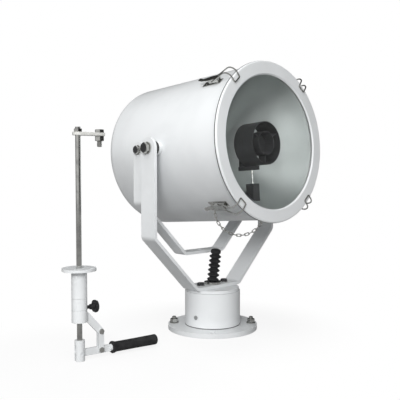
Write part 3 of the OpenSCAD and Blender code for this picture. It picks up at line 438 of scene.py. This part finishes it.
yokeBolt = dict(flats=0.017, head=0.0064, radius=0.005, washerRadius=0.0105, washer=0.0016)
low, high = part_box("yoke_bolts")
boltX = (high.x - low.x) / 2 - yokeBolt["flats"] / 2 / math.cos(math.pi / 6)
seatZ = high.z - yokeBolt["head"]
bm, washers = bmesh.new(), bmesh.new()
for side in (-1, 1):
    seat, raised = upAt(side * boltX, 0, seatZ), upAt(side * boltX, 0, seatZ + yokeBolt["washer"])
    addTube(washers, seat, yokeBolt["radius"], yokeBolt["washerRadius"], yokeBolt["washer"])
    addHexHead(bm, raised, yokeBolt["flats"], yokeBolt["head"])
    addShank(bm, seat, yokeBolt["radius"], seatZ - low.z)
finishPiece("yokeBoltsTurned", bm, "yoke_frame", "dark_steel", ["yoke_bolts"])
finishPiece("yokeWashers", washers, "yoke_frame", "bright_steel")

# the fourth hole, at the front, is bare
deckStud = dict(flats=0.019, nut=0.010, radius=0.0059, nutClear=1.04, pitch=0.00175, proud=0.006,
                turns=(45, 135, 315))
nutLow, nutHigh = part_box("deck_nuts")
baseBolts = next(m for m in frame["record"]["mounts"] if m["name"] == "base_bolts")
boltCircle = baseBolts["dims"]["pcd_mm"] / 2000  # radius in metres
bm, studs = bmesh.new(), bmesh.new()
for turn in deckStud["turns"]:
    x, y = boltCircle * math.cos(math.radians(turn)), boltCircle * math.sin(math.radians(turn))
    addHexNut(bm, upAt(x, y, nutLow.z), deckStud["flats"], deckStud["nut"],
              deckStud["radius"] * deckStud["nutClear"])
    upwards = upAt(x, y, 0) @ Matrix.Rotation(math.pi, 4, "X")
    addThread(studs, upwards, deckStud["radius"], nutHigh.z + deckStud["proud"], deckStud["pitch"])
finishPiece("deckNutsTurned", bm, "pedestal", "bright_steel", ["deck_nuts"])
finishPiece("deckStuds", studs, "pedestal", "bright_steel")

driveBolt = dict(flats=0.019, rodNutFlats=0.017, nutBore=0.00605, head=0.0075, radius=0.006,
                 pitch=0.00175, plain=0.008, lap=0.0005, turn=30)
low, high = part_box("drive_bolt")
armLow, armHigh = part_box("drive_arm")
nutsLow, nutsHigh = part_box("drive_nuts")
centre = middle("drive_bolt")
rodX, rodY = middle("control_rod").xy
turned = Matrix.Rotation(math.radians(driveBolt["turn"]), 4, "Z")
seatZ = high.z - driveBolt["head"]
threadTop = driveBolt["plain"] - driveBolt["lap"]
seat = upAt(centre.x, centre.y, seatZ) @ turned
bm = bmesh.new()
addHexHead(bm, seat, driveBolt["flats"], driveBolt["head"])
addShank(bm, seat, driveBolt["radius"], driveBolt["plain"])
addThread(bm, seat @ upAt(0, 0, -threadTop), driveBolt["radius"], seatZ - low.z - threadTop,
          driveBolt["pitch"])
finishPiece("driveBoltTurned", bm, "drive_rod", "bright_steel", ["drive_bolt"])

bm = bmesh.new()
addHexNut(bm, upAt(rodX, rodY, armHigh.z) @ turned, driveBolt["rodNutFlats"],
          nutsHigh.z - armHigh.z, driveBolt["nutBore"])
addHexNut(bm, upAt(centre.x, centre.y, nutsLow.z) @ turned, driveBolt["flats"],
          armLow.z - nutsLow.z, driveBolt["nutBore"])
finishPiece("driveNutsTurned", bm, "drive_rod", "bright_steel", ["drive_nuts"])
print("bolts and nuts done")


# rubber boot: smooth folds and a domed top on a leaning axis
boot = dict(radius=0.016, height=0.096, hole=0.006, wall=0.002, lean=6, azimuth=-44,
            folds=6, stepsPerFold=16, valley=0.006, roundness=1.3, crownRadius=0.008, crownSteps=14,
            cuffHeight=0.005, cuffRadius=0.020, cuffHole=0.0088, cuffEdge=0.001, cuffLap=0.002)
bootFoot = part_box("boot")[0].z


def bootProfile(look):
    crown, hole, steps = look["crownRadius"], look["hole"], look["stepsPerFold"]
    neck = look["radius"] - look["valley"]
    low = look["cuffHeight"] - look["cuffLap"]
    top = look["height"] - look["cuffHeight"] / 2 - crown
    start = math.acos((neck - hole) / crown)
    crownLow = top - crown * math.sin(start)
    fold = (crownLow - low) / look["folds"]
    outer = [(neck, 0.0)]
    for i in range(look["folds"] * steps + 1):
        swing = (1 + math.cos(2 * math.pi * i / steps)) / 2
        outer.append((look["radius"] - look["valley"] * swing ** look["roundness"], low + i * fold / steps))
    for i in range(1, look["crownSteps"] + 1):
        a = -start + (math.pi / 2 + start) * i / look["crownSteps"]
        outer.append((hole + crown * math.cos(a), top + crown * math.sin(a)))
    bore = neck - look["wall"]
    return outer + [(hole, crownLow), (bore, crownLow), (bore, 0)]


def cuffProfile(look):
    radius, height, edge = look["cuffRadius"], look["cuffHeight"], look["cuffEdge"]
    return [(look["cuffHole"], 0), (radius, 0), (radius, height - edge), (radius - edge, height),
            (look["cuffHole"], height)]


leaning = (Matrix.Rotation(math.radians(boot["azimuth"]), 4, "Z")
           @ Matrix.Rotation(math.radians(boot["lean"]), 4, "Y"))
bm = bmesh.new()
addTurned(bm, upAt(0, 0, bootFoot + boot["cuffHeight"] / 2) @ leaning, bootProfile(boot), closed=True)
addTurned(bm, upAt(0, 0, bootFoot), cuffProfile(boot), closed=True)
finishPiece("bootMoulded", bm, "yoke_frame", "black_rubber", ["boot"], smooth=60)
print("boot done")


# hand grip with a cross-cut pattern between its collar and its rounded end
grip = dict(radius=0.0125, bore=0.00805, plug=0.008, waist=0.0006, endRadius=0.004,
            collar=0.0015, collarLength=0.004, collarEdge=0.001, neckLength=0.008,
            cutDepth=0.0005, cutStart=0.0088, cutEnd=0.008, cutFade=0.003, teeth=26, lead=0.09,
            step=0.0006, around=156)
leverAxis = Vector(joints["knob_turn"]["axis"])
leverFoot = Vector((rodX, rodY, joints["lever_pivot"]["pos_m"][2]))
gripStart, gripEnd = spanAlong("lever_grip", leverFoot, leverAxis)
gripLength = gripEnd - gripStart


def gripRadius(look, z):
    full, collar, endRadius = look["radius"], look["radius"] + look["collar"], look["endRadius"]
    if z < look["collarEdge"]:
        return collar - look["collarEdge"] + z
    if z < look["collarLength"]:
        return collar
    if z < look["collarLength"] + look["neckLength"]:
        t = (z - look["collarLength"]) / look["neckLength"]
        return collar - (look["collar"] + look["waist"]) * (3 - 2 * t) * t * t
    if z > gripLength - endRadius:
        drop = z - gripLength + endRadius
        return full - endRadius + math.sqrt(max(0.0, endRadius ** 2 - drop ** 2))
    return full - look["waist"] * min(1.0, 2 - 2 * z / gripLength)


def gripRing(look, z):
    radius = gripRadius(look, z)
    inCut = min(z - look["cutStart"], gripLength - look["cutEnd"] - z) / look["cutFade"]
    depth = look["cutDepth"] * min(1.0, max(0.0, inCut))
    twist = 2 * math.pi * z / look["lead"]
    ring = []
    for t in turnsAround(look["around"]):
        groove = max(math.cos(look["teeth"] * (t + way * twist)) for way in (1, -1))
        r = radius - depth * max(0.0, groove)
        ring.append((r * math.cos(t), r * math.sin(t), z))
    return ring


count = int(gripLength / grip["step"])
rings = [circleRing(grip["bore"], z, grip["around"]) for z in (gripLength - grip["plug"], 0)]
rings += [gripRing(grip, gripLength * i / count) for i in range(count + 1)]
bm = bmesh.new()
addRings(bm, alongAxis(leverFoot + gripStart * leverAxis, leverAxis), rings)
finishPiece("gripMoulded", bm, "hand_lever", "black_rubber", ["lever_grip"], smooth=50)

# set screw of the swivel collar, with a hexagon socket
setScrew = dict(radius=0.0024, height=0.136, socket=0.0022, socketDepth=0.0008, proud=0.0002,
                edge=0.0002, sunk=0.001, facing=(-0.546, -0.837, 0))
sleeveLow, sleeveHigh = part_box("guide_sleeve")
collarRadius = (sleeveHigh.x - sleeveLow.x) / 2
screwFoot = Vector((rodX, rodY, setScrew["height"])) + collarRadius * Vector(setScrew["facing"])
radius, rim = setScrew["radius"], setScrew["proud"]
bm = bmesh.new()
addRings(bm, alongAxis(screwFoot, setScrew["facing"]), [
    circleRing(radius, -setScrew["sunk"]), circleRing(radius, rim - setScrew["edge"]),
    circleRing(radius - setScrew["edge"], rim), hexRing(setScrew["socket"], rim),
    hexRing(setScrew["socket"], -setScrew["socketDepth"])])
finishPiece("collarSetScrew", bm, "control_collar", "white_paint")
print("hand control done")


# black strip in the seam of the front ring: painted shade of the seam, drawn in the rubber finish
ringSeamShade = dict(width=0.0024, setBack=0.0046, depth=0.0016, proud=0.0003, edge=0.0004, around=144)
sideways = Vector((1, 0, 0))
pivot = Vector(joints["tilt"]["pos_m"])
latchPins = [Vector(joints["latch_%d_lever" % i]["pos_m"]) for i in (1, 2, 3, 4)]
forwards = (sum(latchPins, Vector()) / len(latchPins) - pivot).normalized()
ringRadius = spanAlong("front_ring", pivot, sideways)[1]
high = spanAlong("front_ring", pivot, forwards)[1] - ringSeamShade["setBack"]
low = high - ringSeamShade["width"]
inner, outer, edge = ringRadius - ringSeamShade["depth"], ringRadius + ringSeamShade["proud"], ringSeamShade["edge"]
bm = bmesh.new()
addTurned(bm, alongAxis(pivot, forwards), [
    (inner, low), (ringRadius, low), (outer, low + edge), (outer, high - edge), (ringRadius, high),
    (inner, high)], ringSeamShade["around"], closed=True)
# painted shade along the seam of the front ring
finishPiece("ringSeamPaintedShade", bm, "lamp_head", "black_rubber")

# black ring in the groove at the foot of the pedestal tube: painted shade where the tube meets the flange
footSeamShade = dict(height=0.0017, depth=0.0015, proud=0.0003, edge=0.0004, around=144)
tubeRadius = spanAlong("pedestal_tube", Vector(), sideways)[1]
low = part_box("base_flange")[1].z
high = low + footSeamShade["height"]
inner, outer, edge = tubeRadius - footSeamShade["depth"], tubeRadius + footSeamShade["proud"], footSeamShade["edge"]
bm = bmesh.new()
addTurned(bm, Matrix.Identity(4), [
    (inner, low), (outer, low), (outer, high - edge), (outer - edge, high), (inner, high)],
    footSeamShade["around"], closed=True)
# painted shade at the foot of the pedestal tube
finishPiece("footSeamShade", bm, "pedestal", "black_rubber")

# pan head of the screw in the pedestal; its crown is in shares of radius and height
panHead = dict(radius=0.0056, height=0.0028, crown=((1, 0.45), (0.86, 0.85), (0.55, 1)), recess=0.0010,
               recessDepth=0.001, shank=0.00336, shankLength=0.006, sunk=0.0002, around=32)
head = middle("tube_screw")
facing = Vector((head.x, head.y, 0)).normalized()
radius, height = panHead["radius"], panHead["height"]
profile = [(panHead["shank"], -panHead["shankLength"]), (panHead["shank"], -panHead["sunk"]),
           (radius, -panHead["sunk"])]
profile += [(r * radius, z * height) for r, z in panHead["crown"]]
profile += [(panHead["recess"], height), (panHead["recess"], height - panHead["recessDepth"])]
bm = bmesh.new()
addTurned(bm, alongAxis(tubeRadius * facing + Vector((0, 0, head.z)), facing), profile, panHead["around"])
finishPiece("tubeScrewTurned", bm, "pedestal", "bright_steel", ["tube_screw"], finish="zinc_steel")
print("seams and pedestal screw done")


# floor, white round the part's own faint shadow
floorLook = dict(size=12, drop=0.0005, seen=(0.9, 0.9, 0.9), bounce=(0.25, 0.25, 0.25), rough=0.9,
                 mirrored=0.35, fadeRadius=(0.16, 0.42), white=0.85)
bpy.ops.mesh.primitive_plane_add(size=floorLook["size"], location=(0, 0, -floorLook["drop"]))
floor = bpy.context.object
floor.name = "floor"
floor.visible_transmission = False
floorPaint, tree, shader = newMaterial("floorPaint")
shader.inputs["Roughness"].default_value = floorLook["rough"]
path = addNode(tree, "ShaderNodeLightPath")
cameraRay = path.outputs["Is Camera Ray"]
paint = mixColour(tree, cameraRay, floorLook["bounce"], floorLook["seen"])
tree.links.new(paint, shader.inputs["Base Color"])
glow = addNode(tree, "ShaderNodeEmission")
feed(tree, glow.inputs["Strength"], rangeNode(tree, cameraRay, end=(floorLook["mirrored"], 1.0)))
place = addNode(tree, "ShaderNodeNewGeometry")
away = [vectorNode(tree, "DISTANCE", place.outputs["Position"], spot)
        for spot in ((0, 0, 0), (rodX, rodY, 0))]
fade = rangeNode(tree, mathNode(tree, "MINIMUM", *away), floorLook["fadeRadius"],
                 (floorLook["white"], 1.0), smooth=True)
seen = mathNode(tree, "ADD", cameraRay, path.outputs["Is Glossy Ray"], clamp=True)
mixShaders(tree, mathNode(tree, "MULTIPLY", seen, fade), shader, glow, "Material Output")
floor.data.materials.append(floorPaint)

# white behind the part; for its own light the room is bright on the left and dim on the right
openSky = dict(source=(-0.95, -0.29, 0.12), turn=(-0.10, 0.95), level=(0.05, 0.68))
glassSky = dict(source=(-0.72, -0.66, 0.24), turn=(-0.35, 1.00), level=(0.03, 2.05))
world = bpy.data.worlds.new("paleRoom")
bpy.context.scene.world = world
world.use_nodes = True
tree = world.node_tree
direction = addNode(tree, "ShaderNodeTexCoord")
path = addNode(tree, "ShaderNodeLightPath")


def addSky(look):
    turn = vectorNode(tree, "DOT_PRODUCT", direction.outputs["Generated"], look["source"])
    return rangeNode(tree, turn, look["turn"], look["level"], smooth=True)


# the reflector sees its own sky through the front glass
throughGlass = path.outputs["Is Transmission Ray"]
notThrough = mathNode(tree, "SUBTRACT", 1.0, throughGlass)
outside = mathNode(tree, "MULTIPLY", addSky(openSky), notThrough)
inside = mathNode(tree, "MULTIPLY", addSky(glassSky), throughGlass)
room, white = tree.nodes["Background"], addNode(tree, "ShaderNodeBackground")
for background in (room, white):
    background.inputs["Color"].default_value = (1, 1, 1, 1)
tree.links.new(mathNode(tree, "ADD", outside, inside), room.inputs["Strength"])
mixShaders(tree, path.outputs["Is Camera Ray"], room, white, "World Output")

lamps = {
    "keyLamp": dict(spot=(-1.80, -1.35, 1.15), size=0.8, energy=32.0),
    "topLamp": dict(spot=(-0.8, -0.3, 2.3), size=1.6, energy=18.0),
    "frontLamp": dict(spot=(-0.7, -2.4, 0.7), size=1.4, energy=10.0),
    "rearLamp": dict(spot=(1.6, 1.8, 0.9), size=1.4, energy=24.0),
}
lampTarget = Vector((0, 0, 0.4))
for name, look in lamps.items():
    lamp = bpy.data.lights.new(name, "AREA")
    lamp.shape = "DISK"
    lamp.size = look["size"]
    lamp.energy = look["energy"]
    holder = bpy.data.objects.new(name, lamp)
    bpy.context.collection.objects.link(holder)
    holder.location = look["spot"]
    holder.rotation_euler = (lampTarget - Vector(look["spot"])).to_track_quat("-Z", "Y").to_euler()
    holder.visible_glossy = False
    holder.visible_transmission = False

cameraLook = dict(spot=(-1.2040, -1.1912, 0.4256), heading=-44.15, pitch=-2.6, lens=56.19, nearest=0.01)
camera = bpy.data.objects.new("camera", bpy.data.cameras.new("camera"))
bpy.context.collection.objects.link(camera)
camera.location = cameraLook["spot"]
camera.rotation_euler = (math.radians(90 + cameraLook["pitch"]), 0, math.radians(cameraLook["heading"]))
camera.data.lens = cameraLook["lens"]
camera.data.clip_start = cameraLook["nearest"]
bpy.context.scene.camera = camera
bpy.context.scene.view_settings.view_transform = "Standard"
print("stage done")
